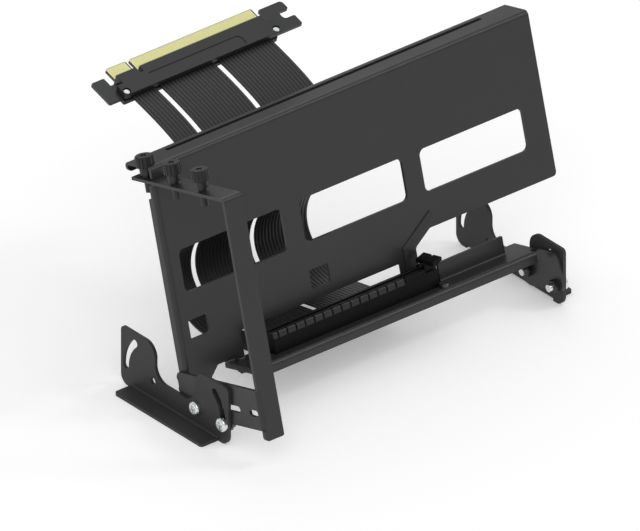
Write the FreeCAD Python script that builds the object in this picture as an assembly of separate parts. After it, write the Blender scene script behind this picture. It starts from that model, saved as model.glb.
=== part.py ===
import FreeCAD, Part
import math
import os

# Vertical graphics card mount: a bracket of folded sheet that stands on two hinged feet,
# with a card slot at its foot and a riser plug on three flat ribbon cables.
#
# The bracket is drawn upright in its own frame and then leaned back about the foot pivots.
# In the bracket frame X runs along the main plate, with 0 at its right edge, Y runs to the
# back, with 0 at the plate's front face, and Z runs up, with 0 at the plate's top.

V = FreeCAD.Vector

# Stance
lean = 15.0
pivot_height = 10.3
pivot_forward = 7.5
pivot_drop = 113.5

# Sheet and fits
sheet = 1.5
bend = 0.8
foot_gap = 0.1
seat_gap = 0.05
hole_gap = 0.05

# Main plate
plate_length = 221.0
plate_right_drop = 79.5
shoulder_run = 9.5
waist_past_slot = 6.55
waist_drop = 85.8
flange_depth = 18.7
lip_height = 5.0
lip_round = 2.5
slit_width = 3.0
slit_left_margin = 19.0
slit_right_margin = 17.3
slit_back = 12.5
return_depth = 5.4
return_top = 9.0
return_below_rail = 7.0
return_step = 3.4
relief = 1.2
relief_top = 16.2
relief_above_end = 3.6

# Windows of the main plate
window_width = 60.0
window_height = 20.5
window_drop = 42.5
window_margin = 7.3
window_pitch = 70.4
window_round = 3.0
port_width = 11.0
port_height = 9.0
port_drop = 76.0
port_margin = 6.0
port_pitch = 70.7
port_round = 0.8

# Low opening behind the slot, and the tab left of it
gate_height = 12.0
gate_before_slot = 8.15
gate_short_of_slot = 3.45
gate_round = 1.5
tab_width = 18.1
tab_chamfer = 7.4

# Rail
rail_above_pivot = 11.5
rail_depth = 20.4
rail_lip = 5.0
rail_inset = 23.0
rail_right = -28.2
rail_back = 0.4
rail_corner = 5.0
wall_height = 8.6
wall_forward = 8.5
wall_past_slot = 10.75
wall_length = 37.9
wall_round = 1.0
end_forward = 31.0
end_below_pivot = 8.0
end_round = 7.5

# Stiffening bead beside the waist
bead_width = 2.0
bead_rise = 0.9
bead_inset = 6.4
bead_top_drop = 72.5

# End frame
frame_width = 10.8
shelf_drop = 6.1
shelf_back = 13.5
post_forward = 53.8
post_below_cross = 5.2
cross_height = 19.4
cross_below_pivot = 4.7
cross_rear = 5.4
ear_below_cross = 3.8
ear_forward = 28.0
ear_chamfer = 3.0
tongue_above_pivot = 3.3
tongue_height = 3.2
tongue_length = 13.6
tongue_pitch = 20.32
tongue_first = 31.6
rivet_radius = 1.2
rivet_head = 2.0
rivet_tail = 0.8
rivet_tail_radius = 1.5
rivet_back = 3.9
rivet_rises = [7.4, 1.6]

# Thumbscrews
thumb_back = 6.1
thumb_inset = 3.4
thumb_radius = 4.3
thumb_head = 5.6
thumb_neck_radius = 3.0
thumb_neck = 3.2
thumb_stand = 1.8
thumb_thread_radius = 1.75
thumb_thread = 8.8
thumb_flutes = 16
thumb_flute_radius = 0.45
thumb_clear = 0.45

# Feet
foot_sheet = 1.6
foot_half = 38.0
foot_height = 29.6
web_height = 11.8
lobe_width = 24.0
pivot_offset = 15.4
arc_radius = 19.0
arc_angle = 47.0
base_half = 30.75
base_width = 11.5

# Foot screws and nuts
screw_radius = 1.75
head_radius = 3.4
head_height = 2.3
recess_width = 0.9
recess_reach = 1.8
recess_depth = 1.2
past_nut = 2.2
nut_corner = 3.2
nut_height = 2.2

# Slot board and its screws
board_gap = 0.1
board_thick = 1.6
board_before_slot = 17.65
board_past_slot = 11.85
board_back = 4.0
board_forward = 17.6
board_screw_radius = 1.25
board_screw_head = 2.3
board_screw_rise = 1.5
board_nut_corner = 2.4
board_nut_height = 1.8
left_screw_out = 13.15
left_screw_back = -3.4
right_screw_out = 6.95
right_screw_back = -16.2

# Card slot
slot_forward = 9.3
first_finger = 44.6
housing_margin = 1.4
housing_tail = 2.4
housing_width = 7.5
housing_height = 11.25
channel_width = 2.5
channel_depth = 8.4
key_start = 11.65
key_width = 1.9
finger_span = 85.2
shell_thick = 0.35
cutout_gap = 0.3
notch_pitch = 5.3
notch_width = 1.0
notch_fall = 2.0
contact_pitch = 1.0
contact_width = 0.6
contact_thick = 0.35
contact_rise = 6.6

# Slot latch
latch_pin_x = 3.6
latch_pin_rise = 2.6
latch_pin_radius = 1.0
latch_half = 2.6
latch_below = 1.4
latch_width = 4.8
latch_top = 2.0
tower_gap = 0.25
tower_length = 6.8
tower_drop = 1.6
hook_reach = 2.0
hook_thick = 1.2
hook_gap = 0.5
paddle_width = 5.3
paddle_pitch = 7.3
paddle_length = 5.0
paddle_thick = 1.2
paddle_rise = 20.0

# Riser plug; X as above, depth along the plug from the back of its fingers, height off its board
plug_offset = 0.45
plug_back = 77.6
plug_up = 16.0
plug_angle = 32.5
plug_thick = 1.6
plug_finger = 5.6
plug_notch_depth = 3.0
plug_body_depth = 12.8
left_ear_width = 7.4
left_ear_gap = 4.2
left_ear_tip = 1.4
right_ear_width = 13.6
right_ear_gap = 2.4
right_ear_tip = 3.4
hook_notch_low = 6.6
hook_notch_high = 2.0
hook_notch_depth = 5.9
cover_depth = 14.5
cover_over = 3.6
cover_front = 3.8
cover_rise = 2.6
cover_chamfer = 3.0
cover_step = 0.3
panel_start = 3.0
panel_end = 12.0
panel_rear = 1.2
panel_front = 5.2
plug_screw_radius = 1.0
plug_screw_head = 1.7
plug_screw_rise = 0.9
plug_screw_back = 11.6
plug_screw_out = 1.4
plug_screw_shift = 0.5
finger_thick = 0.1
finger_pitch = 1.0
finger_width = 0.7

# Ribbon cables; the route is the middle of the cable, as (back, up) in the bracket frame, and its
# low stretch is (back, drop) below the slot board
ribbon_thick = 1.0
ribbon_gap = 2.5
ribbon_inset = 0.5
ribbon_widths = [13.7, 31.9, 30.9]
ribbon_route = [
    (49.5, -1.5),
    (33.0, -16.0),
    (29.5, -38.0),
    (47.0, -57.0),
    (62.0, -72.0),
    (64.0, -88.0),
]
ribbon_low_route = [(47.0, 0.0), (19.0, 1.1)]
ribbon_end_forward = 8.0

# Worked out from the sizes above
plate_left = -plate_length
frame_left = plate_left - seat_gap - sheet
frame_right = frame_left + frame_width
fold = bend + sheet
rail_drop = pivot_drop - rail_above_pivot
rail_under = rail_drop + sheet
rail_left = plate_left + rail_inset
end_drop = pivot_drop + end_below_pivot
tab_right = plate_left + tab_width
return_bottom = rail_drop + return_below_rail
relief_bottom = return_bottom - relief_above_end
rivet_drops = [return_bottom - rise for rise in rivet_rises]
cross_drop = pivot_drop + cross_below_pivot
cross_top = cross_drop - cross_height
ear_drop = cross_drop + ear_below_cross
post_drop = cross_drop + post_below_cross
tongue_drop = pivot_drop - tongue_above_pivot
board_top = -rail_under - board_gap
board_under = board_top - board_thick
housing_length = housing_margin + finger_span + housing_tail
housing_left = frame_left + first_finger - housing_margin
housing_right = housing_left + housing_length
housing_top = board_top + housing_height
gate_top = rail_drop - gate_height
gate_left = housing_left - gate_before_slot
gate_right = housing_right - gate_short_of_slot
waist_x = housing_right + waist_past_slot
shoulder_x = waist_x + shoulder_run
wall_left = housing_right + wall_past_slot
wall_right = wall_left + wall_length
board_left = housing_left - board_before_slot
board_right = housing_right + board_past_slot
left_screw = (housing_left - left_screw_out, left_screw_back)
right_screw = (housing_right + right_screw_out, right_screw_back)
pins_short = int(key_start / contact_pitch)
pins_long = int((finger_span - key_start - key_width) / contact_pitch)
plug_left = housing_left + housing_margin + plug_offset
thumb_x = frame_left + thumb_inset
lock_forward = pivot_forward + arc_radius * math.cos(math.radians(lean))
lock_drop = pivot_drop + arc_radius * math.sin(math.radians(lean))
hole_radius = screw_radius + hole_gap


def box(x0, x1, y0, y1, z0, z1):
    return Part.makeBox(x1 - x0, y1 - y0, z1 - z0, V(x0, y0, z0))


def rounded_edges(points, radii, closed=True):
    """The edges of a path with its corners rounded; a radius of 0 keeps a corner sharp."""
    count = len(points)
    starts = []
    ends = []
    middles = []
    for i, here in enumerate(points):
        if radii[i] == 0 or not (closed or 0 < i < count - 1):
            starts.append(here)
            ends.append(here)
            middles.append(None)
            continue
        before = (points[i - 1] - here).normalize()
        after = (points[(i + 1) % count] - here).normalize()
        half = before.getAngle(after) / 2
        reach = radii[i] / math.tan(half)
        inward = (before + after).normalize()
        starts.append(here + before * reach)
        ends.append(here + after * reach)
        middles.append(here + inward * (radii[i] / math.sin(half) - radii[i]))
    edges = []
    for i in range(count):
        if middles[i] is not None:
            edges.append(Part.Arc(starts[i], middles[i], ends[i]).toShape())
        if i + 1 < count or closed:
            following = starts[(i + 1) % count]
            if (following - ends[i]).Length > 1e-6:
                edges.append(Part.LineSegment(ends[i], following).toShape())
    return edges


def pushed(points, radii, push):
    """A flat outline with rounded corners, pushed along a vector into a solid."""
    if not isinstance(radii, list):
        radii = [radii] * len(points)
    wire = Part.Wire(Part.__sortEdges__(rounded_edges(points, radii)))
    return Part.Face(wire).extrude(push)


def facing(points, radii, y0, y1):
    """An outline in the plane of the main plate; points are (x, up)."""
    return pushed([V(x, y0, z) for x, z in points], radii, V(0, y1 - y0, 0))


def endways(points, radii, x0, x1):
    """An outline seen along X; points are (back, up)."""
    return pushed([V(x0, y, z) for y, z in points], radii, V(x1 - x0, 0, 0))


def plan(points, radii, z0, z1):
    """An outline seen from above; points are (x, back)."""
    return pushed([V(x, y, z0) for x, y in points], radii, V(0, 0, z1 - z0))


def corners(a0, a1, b0, b1):
    return [(a0, b0), (a1, b0), (a1, b1), (a0, b1)]


def folded(path, to_space, push, thick=sheet, inner=bend):
    """A folded sheet. The path is one face of it in section, with the sheet on its left, and
    inner is the inside radius of each fold, or a list of them."""
    flat = [V(a, b, 0) for a, b in path]
    last = len(flat) - 1
    insides = inner if isinstance(inner, list) else [inner] * (last - 1)
    steps = [(flat[i + 1] - flat[i]).normalize() for i in range(last)]
    lefts = [V(-s.y, s.x, 0) for s in steps]
    far = [flat[0] + lefts[0] * thick]
    near_radii = [0]
    far_radii = [0]
    for i in range(1, last):
        mitre = lefts[i - 1] + lefts[i]
        far.append(flat[i] + mitre * (thick / (1 + lefts[i - 1].dot(lefts[i]))))
        turns_left = steps[i - 1].cross(steps[i]).z > 0
        near_radii.append(insides[i - 1] + (thick if turns_left else 0))
        far_radii.append(insides[i - 1] + (0 if turns_left else thick))
    far.append(flat[last] + lefts[-1] * thick)
    near_radii.append(0)
    far_radii.append(0)
    near_edges = rounded_edges([to_space(p) for p in flat], near_radii, False)
    far_edges = rounded_edges([to_space(p) for p in far], far_radii, False)
    caps = [Part.LineSegment(to_space(flat[i]), to_space(far[i])).toShape() for i in (0, last)]
    wire = Part.Wire(Part.__sortEdges__(near_edges + far_edges + caps))
    return Part.Face(wire).extrude(push)


def folded_endways(path, x0, x1, thick=sheet, inner=bend):
    """A folded sheet seen along X; the path is in (back, up)."""
    return folded(path, lambda p: V(x0, p.x, p.y), V(x1 - x0, 0, 0), thick, inner)


def folded_plan(path, z0, z1):
    """A folded sheet seen from above; the path is in (x, back)."""
    return folded(path, lambda p: V(p.x, p.y, z0), V(0, 0, z1 - z0))


def folded_facing(path, y0, y1, thick=sheet):
    """A folded sheet seen from the front; the path is in (x, up)."""
    return folded(path, lambda p: V(p.x, y0, p.y), V(0, y1 - y0, 0), thick)


def along_x(y, z, radius, x0, x1):
    return Part.makeCylinder(radius, x1 - x0, V(x0, y, z), V(1, 0, 0))


def along_y(x, z, radius, y0, y1):
    return Part.makeCylinder(radius, y1 - y0, V(x, y0, z), V(0, 1, 0))


def along_z(x, y, radius, z0, z1):
    return Part.makeCylinder(radius, z1 - z0, V(x, y, z0))


def hexagon_x(y, z, corner, x0, x1):
    turns = [math.radians(60 * i) for i in range(6)]
    points = [(y + corner * math.cos(t), z + corner * math.sin(t)) for t in turns]
    return endways(points, 0, x0, x1)


def hexagon_z(x, y, corner, z0, z1):
    turns = [math.radians(60 * i) for i in range(6)]
    points = [(x + corner * math.cos(t), y + corner * math.sin(t)) for t in turns]
    return plan(points, 0, z0, z1)


def fuse(first, *others):
    return first.multiFuse(list(others)).removeSplitter()


def cut(body, *tools):
    for tool in tools:
        body = body.cut(tool)
    return body


# Main plate: one sheet, folded back at its top and left, and forward at its foot as the rail.
def main_plate():
    top = folded_endways(
        [(flange_depth, -lip_height), (flange_depth, 0), (0, 0), (0, -fold - 1)],
        plate_left,
        0,
    )
    edge = folded_plan(
        [(plate_left, return_depth), (plate_left, 0), (plate_left + fold + 1, 0)],
        -return_bottom,
        -return_top,
    )
    flat = facing(
        [
            (0, -fold),
            (0, -plate_right_drop),
            (shoulder_x, -plate_right_drop),
            (waist_x, -waist_drop),
            (waist_x, -rail_drop + bend),
            (tab_right, -rail_drop + bend),
            (tab_right - tab_chamfer, -rail_drop + bend - tab_chamfer),
            (tab_right - tab_chamfer, -return_bottom),
            (plate_left + fold, -return_bottom),
            (plate_left + fold, -return_top),
            (plate_left, -return_top),
            (plate_left, -fold),
        ],
        [0, 2, 2, 2, 0, 0, 0.5, 0, 0, 0, 0, 0],
        0,
        sheet,
    )
    lip = [(-rail_depth, -rail_drop), (-rail_depth, -rail_drop - rail_lip)]
    base = folded_endways([(0, -gate_top), (0, -rail_drop)] + lip, rail_left, waist_x)
    free = [(-rail_back, -rail_drop)] + lip
    gap_base = folded_endways(free, waist_x, wall_left)
    right_base = folded_endways(free, wall_right, rail_right - rail_corner)
    wall = folded_endways(
        [(-wall_forward, -rail_drop + wall_height), (-wall_forward, -rail_drop)] + lip,
        wall_left,
        wall_right,
    )
    end_fold = folded_facing(
        [
            (rail_right, -rail_drop - fold - 1),
            (rail_right, -rail_drop),
            (rail_right - rail_corner, -rail_drop),
        ],
        rail_corner - rail_depth,
        -rail_back,
    )
    end_plate = endways(
        [
            (-rail_back, -rail_drop - fold),
            (rail_corner - rail_depth, -rail_drop - fold),
            (rail_corner - rail_depth, -rail_drop),
            (-end_forward, -rail_drop),
            (-end_forward, -end_drop),
            (-rail_back, -end_drop),
        ],
        [0, 0, 1, 3, 4, end_round],
        rail_right - sheet,
        rail_right,
    )
    body = fuse(top, edge, flat, base, gap_base, right_base, wall, end_fold, end_plate)
    return cut(fuse(body, bead()), *plate_cuts())


def bead():
    """A pressed rib that follows the chamfered waist, set in from the edge."""
    slope = math.atan2(waist_drop - plate_right_drop, shoulder_x - waist_x)
    rise = bead_inset * math.tan(slope / 2)
    knee = V(waist_x - bead_inset, 0, rise - waist_drop)
    run = (knee.z + bead_top_drop) / math.tan(slope)
    start = V(knee.x - run, 0, -bead_top_drop)
    foot = V(knee.x, 0, -gate_top - 4)
    solids = []
    for a, b in ((start, knee), (knee, foot)):
        solids.append(Part.makeCylinder(bead_width / 2, (b - a).Length, a, b - a))
    for ball in (start, knee, foot):
        solids.append(Part.makeSphere(bead_width / 2, ball))
    rib = fuse(*solids)
    return rib.common(box(plate_left, 0, -bead_rise, sheet / 2, -rail_drop, 0))


def plate_cuts():
    """Everything that is pierced through the main plate after folding."""
    tools = []
    low = -window_drop - window_height
    for i in range(3):
        x = plate_left + window_margin + i * window_pitch
        window = corners(x, x + window_width, low, -window_drop)
        tools.append(facing(window, window_round, -2, sheet + 1))
    for i in range(2):
        x = plate_left + port_margin + i * port_pitch
        port = corners(x, x + port_width, -port_drop - port_height, -port_drop)
        tools.append(facing(port, port_round, -2, sheet + 1))
    slit = corners(
        plate_left + slit_left_margin,
        -slit_right_margin,
        slit_back - slit_width / 2,
        slit_back + slit_width / 2,
    )
    tools.append(plan(slit, slit_width * 0.49, -sheet - 1, 1))
    gate = corners(gate_left, gate_right, -rail_under - 1, -gate_top)
    tools.append(facing(gate, [0, 0, gate_round, gate_round], -rail_back, sheet + 1))
    for x in (plate_left, 0):
        inward = lip_round if x else -lip_round
        block = box(min(x, x + inward), max(x, x + inward), flange_depth - fold, flange_depth + 1,
                    -lip_height - 1, -lip_height + lip_round)
        keep = along_y(x + inward, -lip_height + lip_round, lip_round, 0, flange_depth + 2)
        tools.append(block.cut(keep))
    tools.append(
        box(plate_left - 1, plate_left + sheet + 0.5, return_depth - relief, return_depth + 1,
            -relief_bottom - relief / 2, -relief_bottom + relief / 2)
    )
    tools.append(
        box(plate_left - 1, plate_left + sheet + 0.5, return_step, return_depth + 1, -relief_top, 0)
        .common(box(plate_left - 1, plate_left + fold, 0, return_depth + 1, -relief_top, -return_top + 1))
    )
    tools.append(
        box(plate_left - 1, frame_right + seat_gap, -1, sheet + 1,
            -shelf_drop - sheet - seat_gap, -shelf_drop + seat_gap)
    )
    head = along_z(thumb_x, thumb_back, thumb_radius + thumb_clear, -shelf_drop, 1)
    tools.append(head.common(box(frame_left - sheet, 0, sheet + seat_gap, flange_depth, -shelf_drop, 1)))
    half = housing_width / 2 + shell_thick + cutout_gap
    tools.append(
        box(housing_left - shell_thick - cutout_gap, housing_right + tower_length + cutout_gap,
            -slot_forward - half, -slot_forward + half, -rail_under - 1, -rail_drop + 1)
    )
    for x, y in (left_screw, right_screw):
        tools.append(along_z(x, y, board_screw_radius + hole_gap, -rail_under - 1, -rail_drop + 1))
    for y, z in ((-pivot_forward, -pivot_drop), (-lock_forward, -lock_drop)):
        tools.append(along_x(y, z, hole_radius, rail_right - sheet - 1, rail_right + 1))
    for drop in rivet_drops:
        tools.append(along_x(rivet_back, -drop, rivet_radius, plate_left - 1, plate_left + sheet + 1))
    return tools


# End frame: one sheet that makes the screw shelf, the front post and the slotted cross plate.
def end_frame():
    hoop = folded_endways(
        [(shelf_back, -shelf_drop), (-post_forward, -shelf_drop), (-post_forward, -post_drop)],
        frame_left,
        frame_right,
    )
    foot_corner = facing(
        corners(frame_left, frame_right, -post_drop, -cross_drop + 3),
        [2.5, 1, 0, 0],
        -post_forward - 1,
        -post_forward + sheet + 1,
    )
    foot_block = box(frame_left - 1, frame_right + 1, -post_forward - 1, -post_forward + sheet + 1,
                     -post_drop - 1, -cross_drop + 3)
    hoop = hoop.cut(foot_block.cut(foot_corner))
    hoop = hoop.cut(
        box(frame_left - 1, frame_left + fold, -post_forward - 1, -post_forward + fold,
            -cross_drop, -cross_top)
    )
    turn = folded_plan(
        [
            (frame_left, -post_forward + fold + 1),
            (frame_left, -post_forward),
            (frame_left + fold + 1, -post_forward),
        ],
        -cross_drop,
        -cross_top,
    )
    cross = endways(
        [
            (cross_rear, -cross_top),
            (-post_forward + fold, -cross_top),
            (-post_forward + fold, -cross_drop),
            (-ear_forward - ear_chamfer, -cross_drop),
            (-ear_forward, -ear_drop),
            (-cross_rear, -ear_drop),
            (-cross_rear / 10, -cross_drop),
            (cross_rear, -return_bottom),
        ],
        [2, 0, 0, 1, 1, 1, 1, 1],
        frame_left,
        frame_left + sheet,
    )
    body = fuse(hoop, turn, cross)
    tools = []
    for i in range(3):
        y = thumb_back - i * tongue_pitch
        tools.append(along_z(thumb_x, y, thumb_thread_radius + hole_gap, -shelf_drop - sheet - 1, 0))
    for i in range(2):
        near = -tongue_first + tongue_length / 2 - i * tongue_pitch
        far = max(near - tongue_length, -post_forward + fold)
        slot = corners(far, near, -tongue_drop - tongue_height / 2, -tongue_drop + tongue_height / 2)
        tools.append(endways(slot, tongue_height * 0.45, frame_left - 1, frame_left + sheet + 1))
    for y, z in ((-pivot_forward, -pivot_drop), (-lock_forward, -lock_drop)):
        tools.append(along_x(y, z, hole_radius, frame_left - 1, frame_left + sheet + 1))
    for drop in rivet_drops:
        tools.append(rivet_head_cone(drop))
        tools.append(along_x(rivet_back, -drop, rivet_radius, frame_left - 1, plate_left))
    return cut(body, *tools)


def rivet_head_cone(drop):
    depth = rivet_head - rivet_radius
    return Part.makeCone(rivet_head, rivet_radius, depth, V(frame_left, rivet_back, -drop), V(1, 0, 0))


# Rivets: flush outside, with a rolled tail inside the plate's left flange.
def frame_rivets():
    solids = []
    for drop in rivet_drops:
        shank = along_x(rivet_back, -drop, rivet_radius, frame_left, plate_left + sheet + rivet_tail)
        tail = along_x(rivet_back, -drop, rivet_tail_radius, plate_left + sheet,
                       plate_left + sheet + rivet_tail)
        solids.append(fuse(rivet_head_cone(drop), shank, tail))
    return solids


# Thumbscrews: fluted head with a cross recess, plain neck and a threaded shank.
def thumbscrew(y):
    seat = -shelf_drop + thumb_stand
    under = seat + thumb_neck
    over = under + thumb_head
    head = along_z(thumb_x, y, thumb_radius, under, over)
    head = head.makeChamfer(0.5, [e for e in head.Edges if e.Length > thumb_radius * 6])
    for i in range(thumb_flutes):
        turn = 2 * math.pi * i / thumb_flutes
        fx = thumb_x + thumb_radius * math.cos(turn)
        fy = y + thumb_radius * math.sin(turn)
        head = head.cut(along_z(fx, fy, thumb_flute_radius, under - 1, over + 1))
    for long, wide in ((recess_reach, recess_width / 2), (recess_width / 2, recess_reach)):
        head = head.cut(box(thumb_x - long, thumb_x + long, y - wide, y + wide,
                            over - recess_depth, over + 1))
    neck = along_z(thumb_x, y, thumb_neck_radius, seat, under)
    thread = along_z(thumb_x, y, thumb_thread_radius, seat - thumb_thread, seat)
    return fuse(head, neck, thread)


def arc_slot(centre_y, centre_z, side, x0, x1):
    """A curved slot about a pivot hole; side is -1 for the front lobe and 1 for the back one."""
    half = screw_radius + 3 * hole_gap

    def at(radius, degrees):
        turn = math.radians(degrees)
        return V(x0, centre_y + side * radius * math.cos(turn), centre_z + radius * math.sin(turn))

    tip = math.degrees(half / arc_radius)
    outer = Part.Arc(at(arc_radius + half, 0), at(arc_radius + half, arc_angle / 2),
                     at(arc_radius + half, arc_angle)).toShape()
    inner = Part.Arc(at(arc_radius - half, 0), at(arc_radius - half, arc_angle / 2),
                     at(arc_radius - half, arc_angle)).toShape()
    low = Part.Arc(at(arc_radius + half, 0), at(arc_radius, -tip), at(arc_radius - half, 0)).toShape()
    high = Part.Arc(at(arc_radius + half, arc_angle), at(arc_radius, arc_angle + tip),
                    at(arc_radius - half, arc_angle)).toShape()
    wire = Part.Wire(Part.__sortEdges__([outer, inner, low, high]))
    return Part.Face(wire).extrude(V(x1 - x0, 0, 0))


# Feet: a plate with two lobes, folded outward at the ground. Drawn with the pivot at Y = 0.
def foot(inner_face, out):
    """out is -1 for the left foot and 1 for the right foot."""
    outer_face = inner_face + out * foot_sheet
    x0 = min(inner_face, outer_face)
    x1 = max(inner_face, outer_face)
    half_base = foot_sheet + bend
    inner_top = foot_half - lobe_width
    shape = [
        (-foot_half, 0),
        (foot_half, 0),
        (foot_half, foot_height),
        (inner_top, foot_height),
        (inner_top, web_height),
        (-inner_top, web_height),
        (-inner_top, foot_height),
        (-foot_half, foot_height),
    ]
    radii = [5, 5, 2, 7, 7.5, 7.5, 7, 2]
    middle = pivot_offset
    wall = endways([(middle + u, z) for u, z in shape], radii, x0, x1)
    wall = wall.cut(box(x0 - 1, x1 + 1, middle - base_half, middle + base_half, -1, half_base))
    path = [
        (inner_face + out * base_width, 0),
        (inner_face, 0),
        (inner_face, half_base + 0.5),
    ]
    if out > 0:
        path.reverse()
    base = folded_facing(path, middle - base_half, middle + base_half, foot_sheet)
    trim = [(inner_face + out * 3, middle - base_half), (inner_face + out * base_width, middle - base_half),
            (inner_face + out * base_width, middle + base_half), (inner_face + out * 3, middle + base_half)]
    keep = plan(trim, [0, 1.5, 1.5, 0], -1, foot_sheet + 1)
    rest = box(min(inner_face, inner_face + out * 3), max(inner_face, inner_face + out * 3),
               middle - base_half, middle + base_half, -1, foot_height)
    base = base.common(fuse(keep, rest))
    body = fuse(wall, base)
    tools = []
    for side, y in ((-1, 0), (1, 2 * pivot_offset)):
        tools.append(along_x(y, pivot_height, hole_radius, x0 - 1, x1 + 1))
        tools.append(arc_slot(y, pivot_height, side, x0 - 1, x1 + 1))
    return cut(body, *tools)


# Foot screws: pan heads with a cross recess outside the foot, and a nut inside the bracket.
def foot_screw(y, z, foot_inner, out, plate_inner):
    """plate_inner is the bracket's inner face, where the nut sits."""
    face = foot_inner + out * (foot_sheet + seat_gap)
    tip = plate_inner - out * (nut_height + past_nut)
    head = Part.makeCylinder(head_radius, head_height, V(face, y, z), V(out, 0, 0))
    rim = [e for e in head.Edges if e.Length > 6 * head_radius and abs(e.CenterOfMass.x - face) > 1]
    head = head.makeFillet(head_height * 0.55, rim)
    top = face + out * head_height
    for wide, tall in ((recess_reach, recess_width / 2), (recess_width / 2, recess_reach)):
        floor = top - out * recess_depth
        head = head.cut(box(min(floor, top + out), max(floor, top + out), y - wide, y + wide,
                            z - tall, z + tall))
    shank = Part.makeCylinder(screw_radius, abs(face - tip), V(face, y, z), V(-out, 0, 0))
    return fuse(head, shank)


def foot_nut(y, z, out, plate_inner):
    far = plate_inner - out * nut_height
    nut = hexagon_x(y, z, nut_corner, min(plate_inner, far), max(plate_inner, far))
    return nut.cut(along_x(y, z, screw_radius, min(plate_inner, far) - 1, max(plate_inner, far) + 1))


# Slot board: small circuit board under the rail that carries the slot and takes the ribbons.
def slot_board():
    board = plan(corners(board_left, board_right, -board_forward, board_back), 1.5, board_under, board_top)
    for x, y in (left_screw, right_screw):
        board = board.cut(along_z(x, y, board_screw_radius + hole_gap, board_under - 1, board_top + 1))
    return board


def slot_screws():
    solids = []
    for x, y in (left_screw, right_screw):
        head = along_z(x, y, board_screw_head, -rail_drop, -rail_drop + board_screw_rise)
        head = head.makeChamfer(0.4, [head.Edges[0]])
        head = head.cut(box(x - recess_reach, x + recess_reach, y - recess_width / 3, y + recess_width / 3,
                            -rail_drop + board_screw_rise / 2, -rail_drop + board_screw_rise + 1))
        tip = board_under - board_nut_height - past_nut / 2
        solids.append(fuse(head, along_z(x, y, board_screw_radius, tip, -rail_drop)))
    return solids


def slot_nuts():
    solids = []
    for x, y in (left_screw, right_screw):
        nut = hexagon_z(x, y, board_nut_corner, board_under - board_nut_height, board_under)
        solids.append(nut.cut(along_z(x, y, board_screw_radius, board_under - 3, board_under + 1)))
    return solids


def channels(width, low):
    """The two stretches of the slot's channel, left and right of its key."""
    start = housing_left + housing_margin
    gap = 2 * hole_gap
    short = (start - gap, start + key_start + gap)
    long = (start + key_start + key_width - gap, start + finger_span + gap)
    half = width / 2
    return [box(a, b, -slot_forward - half, -slot_forward + half, low, housing_top + 1)
            for a, b in (short, long)]


# Slot housing: moulded body with its two channels, and the two towers that hold the latch.
def slot_housing():
    half = housing_width / 2
    body = box(housing_left, housing_right, -slot_forward - half, -slot_forward + half,
               board_top, housing_top)
    body = cut(body, *channels(channel_width, housing_top - channel_depth))
    pin_x = housing_right + latch_pin_x
    pin_z = board_top + latch_pin_rise
    for side in (-1, 1):
        near = side * (latch_width / 2 + tower_gap)
        far = side * half
        y0 = -slot_forward + min(near, far)
        y1 = -slot_forward + max(near, far)
        tower = facing(
            corners(housing_right - 1, housing_right + tower_length, board_top, housing_top - tower_drop),
            [0, 0, 2, 0],
            y0,
            y1,
        )
        body = fuse(body, tower.cut(along_y(pin_x, pin_z, latch_pin_radius + hole_gap, y0 - 1, y1 + 1)))
    return body


# Slot shell: thin steel armour over the housing, notched across its top edge.
def slot_shell():
    half = housing_width / 2
    outer = half + shell_thick
    shell = box(housing_left - shell_thick, housing_right, -slot_forward - outer, -slot_forward + outer,
                board_top, housing_top + shell_thick)
    shell = shell.cut(box(housing_left, housing_right + 1, -slot_forward - half, -slot_forward + half,
                          board_top - 1, housing_top))
    mouth = box(housing_left + housing_margin / 2, housing_right - housing_margin / 2,
                -slot_forward - channel_width / 2 - hole_gap, -slot_forward + channel_width / 2 + hole_gap,
                housing_top - 1, housing_top + 1)
    shell = shell.cut(mouth)
    count = int((housing_length - notch_pitch / 2) // notch_pitch)
    first = housing_left + (housing_length - (count - 1) * notch_pitch) / 2
    notches = []
    for i in range(count):
        x = first + i * notch_pitch
        for y0, y1 in ((-outer - 1, -half + 1.4), (half - 1.4, outer + 1)):
            notches.append(box(x - notch_width / 2, x + notch_width / 2, -slot_forward + y0,
                               -slot_forward + y1, housing_top - notch_fall, housing_top + 1))
    return shell.cut(Part.makeCompound(notches))


# Slot contacts: sprung strips down both walls of the channel, at the card's own pitch.
def slot_contacts():
    start = housing_left + housing_margin
    low = housing_top - channel_depth + seat_gap
    strips = []
    for first, count in ((start, pins_short), (start + key_start + key_width, pins_long)):
        for i in range(count):
            x = first + (i + 0.5) * contact_pitch
            for side in (-1, 1):
                wall = -slot_forward + side * channel_width / 2
                inner = wall - side * contact_thick
                strips.append(box(x - contact_width / 2, x + contact_width / 2, min(wall, inner),
                                  max(wall, inner), low, low + contact_rise))
    return strips


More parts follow.
